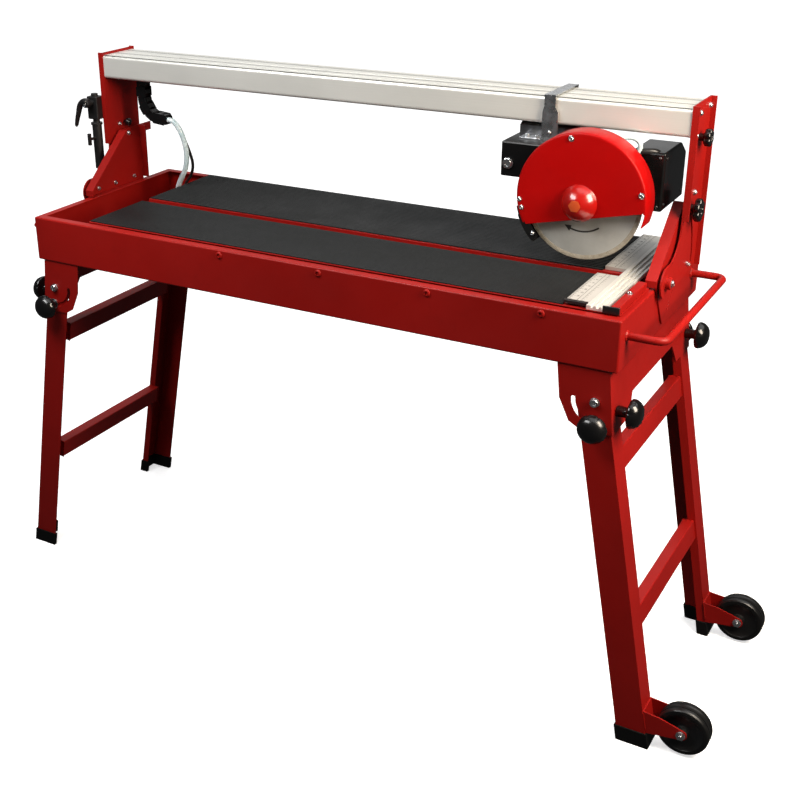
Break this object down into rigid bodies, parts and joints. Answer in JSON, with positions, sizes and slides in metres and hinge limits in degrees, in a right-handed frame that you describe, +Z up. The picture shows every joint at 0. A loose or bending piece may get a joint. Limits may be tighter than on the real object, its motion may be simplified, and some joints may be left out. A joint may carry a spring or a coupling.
{
  "type": "wet tile saw",
  "caption": "Red wet tile saw on folding legs: a water tray with rubber-topped table, a tilting aluminium beam on side columns, and a plunging blade head that slides along it.",
  "frame": {"origin": "centre of the bounding box, on the floor", "axes": "+X along the saw towards the end with the pull handle and the wheels, -Y towards the operator, +Z up"},
  "size_m": [1.7188, 0.584, 1.2005],
  "materials": {
    "red_paint": "gloss red powder coat",
    "black_steel": "satin black powder coat",
    "black_plastic": "moulded black plastic",
    "rubber_mat": "matt ribbed rubber",
    "rubber_foot": "matt black rubber",
    "wheel_rubber": "satin black rubber and plastic",
    "anodised": "satin anodised extrusion",
    "scale_aluminium": "brushed, with printed divisions",
    "zinc": "bright zinc plate",
    "blade_steel": "ground steel with a sintered rim",
    "clear_hose": "pale clear tube"
  },
  "bodies": {
    "base": {"tray": "red_paint", "table_frame": "red_paint", "panel_front": "red_paint", "panel_back": "red_paint", "mat_front": "rubber_mat", "mat_back": "rubber_mat", "scale_front": "scale_aluminium", "scale_back": "scale_aluminium", "fence_rail": "anodised", "fence_tube": "red_paint", "fence_cap": "black_plastic", "pump": "black_plastic", "leg_mount_right": "red_paint", "leg_mount_left": "red_paint", "bracket_right": "red_paint", "bracket_left": "red_paint", "pull_handle": "red_paint", "hose": "clear_hose", "cable": "black_plastic"},
    "bridge": {"beam": "anodised", "column_right": "red_paint", "column_left": "red_paint", "drag_chain": "black_plastic", "post_collar": "black_plastic", "post": "black_plastic"},
    "lever": {"clamp_lever": "black_plastic"},
    "carriage": {"trolley": "black_steel", "carriage_housing": "black_steel", "beam_strap": "zinc"},
    "head": {"head_arm": "black_steel", "motor": "black_plastic", "switch_box": "black_plastic", "blade_guard": "red_paint", "hub_cap": "red_paint", "splash_flap": "rubber_foot"},
    "arbor": {"spindle": "zinc", "blade": "blade_steel", "outer_flange": "zinc", "arbor_nut": "zinc"},
    "legs_right": {"leg_frame_right": "red_paint", "foot_right_front": "rubber_foot", "foot_right_back": "rubber_foot"},
    "legs_left": {"leg_frame_left": "red_paint", "foot_left_front": "rubber_foot", "foot_left_back": "rubber_foot"},
    "wheel_front": {"wheel_front": "wheel_rubber"},
    "wheel_back": {"wheel_back": "wheel_rubber"},
    "lock_knob": {"lock_knob": "black_plastic"},
    "tilt_knob_right": {"tilt_knob_right": "black_plastic"},
    "tilt_knob_left": {"tilt_knob_left": "black_plastic"},
    "knob_end_right_front": {"knob_end_right_front": "black_plastic"},
    "knob_end_right_back": {"knob_end_right_back": "black_plastic"},
    "knob_end_left_front": {"knob_end_left_front": "black_plastic"},
    "knob_end_left_back": {"knob_end_left_back": "black_plastic"},
    "knob_swing_right_front": {"knob_swing_right_front": "black_plastic"},
    "knob_swing_right_back": {"knob_swing_right_back": "black_plastic"},
    "knob_swing_left_front": {"knob_swing_left_front": "black_plastic"},
    "knob_swing_left_back": {"knob_swing_left_back": "black_plastic"}
  },
  "joints": [
    {"name": "beam_tilt", "type": "hinge", "parent": "base", "child": "bridge", "pos_m": [-0.0548, -0.036, 0.887], "axis": [1, 0, 0], "range_deg": [0, 45]},
    {"name": "carriage_slide", "type": "slide", "parent": "bridge", "child": "carriage", "axis": [-1, 0, 0], "range_m": [0, 0.86]},
    {"name": "head_plunge", "type": "hinge", "parent": "carriage", "child": "head", "pos_m": [0.2972, 0.06, 1.0655], "axis": [0, 1, 0], "range_deg": [0, 13]},
    {"name": "blade_spin", "type": "hinge", "parent": "head", "child": "arbor", "pos_m": [0.4667, -0.0287, 1.0201], "axis": [0, 1, 0], "continuous": true},
    {"name": "leg_fold_right", "type": "hinge", "parent": "base", "child": "legs_right", "pos_m": [0.5892, 0, 0.716], "axis": [0, 1, 0], "range_deg": [0, 84]},
    {"name": "leg_fold_left", "type": "hinge", "parent": "base", "child": "legs_left", "pos_m": [-0.6988, 0, 0.716], "axis": [0, -1, 0], "range_deg": [0, 100.65]},
    {"name": "wheel_spin_front", "type": "hinge", "parent": "legs_right", "child": "wheel_front", "pos_m": [0.8082, -0.2142, 0.0563], "axis": [0, 1, 0], "continuous": true},
    {"name": "wheel_spin_back", "type": "hinge", "parent": "legs_right", "child": "wheel_back", "pos_m": [0.8082, 0.2142, 0.0563], "axis": [0, 1, 0], "continuous": true},
    {"name": "lever_turn", "type": "hinge", "parent": "bridge", "child": "lever", "pos_m": [-0.7758, 0.021, 1.085], "axis": [0, 1, 0], "range_deg": [-60, 120]},
    {"name": "lock_knob_turn", "type": "hinge", "parent": "bridge", "child": "lock_knob", "pos_m": [0.6397, 0.094, 1.1345], "axis": [1, 0, 0], "continuous": true},
    {"name": "tilt_knob_turn_right", "type": "hinge", "parent": "base", "child": "tilt_knob_right", "pos_m": [0.6397, 0.07714, 1.00014], "axis": [1, 0, 0], "continuous": true},
    {"name": "end_knob_turn_right_front", "type": "hinge", "parent": "base", "child": "knob_end_right_front", "pos_m": [0.6222, -0.217, 0.696], "axis": [1, 0, 0], "continuous": true},
    {"name": "swing_knob_turn_right_front", "type": "hinge", "parent": "legs_right", "child": "knob_swing_right_front", "pos_m": [0.59678, -0.2445, 0.67571], "axis": [0, -1, 0], "continuous": true},
    {"name": "end_knob_turn_right_back", "type": "hinge", "parent": "base", "child": "knob_end_right_back", "pos_m": [0.6222, 0.217, 0.696], "axis": [1, 0, 0], "continuous": true},
    {"name": "swing_knob_turn_right_back", "type": "hinge", "parent": "legs_right", "child": "knob_swing_right_back", "pos_m": [0.59678, 0.2445, 0.67571], "axis": [0, 1, 0], "continuous": true},
    {"name": "tilt_knob_turn_left", "type": "hinge", "parent": "base", "child": "tilt_knob_left", "pos_m": [-0.7493, 0.07714, 1.00014], "axis": [-1, 0, 0], "continuous": true},
    {"name": "end_knob_turn_left_front", "type": "hinge", "parent": "base", "child": "knob_end_left_front", "pos_m": [-0.7318, -0.217, 0.696], "axis": [-1, 0, 0], "continuous": true},
    {"name": "swing_knob_turn_left_front", "type": "hinge", "parent": "legs_left", "child": "knob_swing_left_front", "pos_m": [-0.70638, -0.2445, 0.67571], "axis": [0, -1, 0], "continuous": true},
    {"name": "end_knob_turn_left_back", "type": "hinge", "parent": "base", "child": "knob_end_left_back", "pos_m": [-0.7318, 0.217, 0.696], "axis": [-1, 0, 0], "continuous": true},
    {"name": "swing_knob_turn_left_back", "type": "hinge", "parent": "legs_left", "child": "knob_swing_left_back", "pos_m": [-0.70638, 0.2445, 0.67571], "axis": [0, 1, 0], "continuous": true}
  ]
}
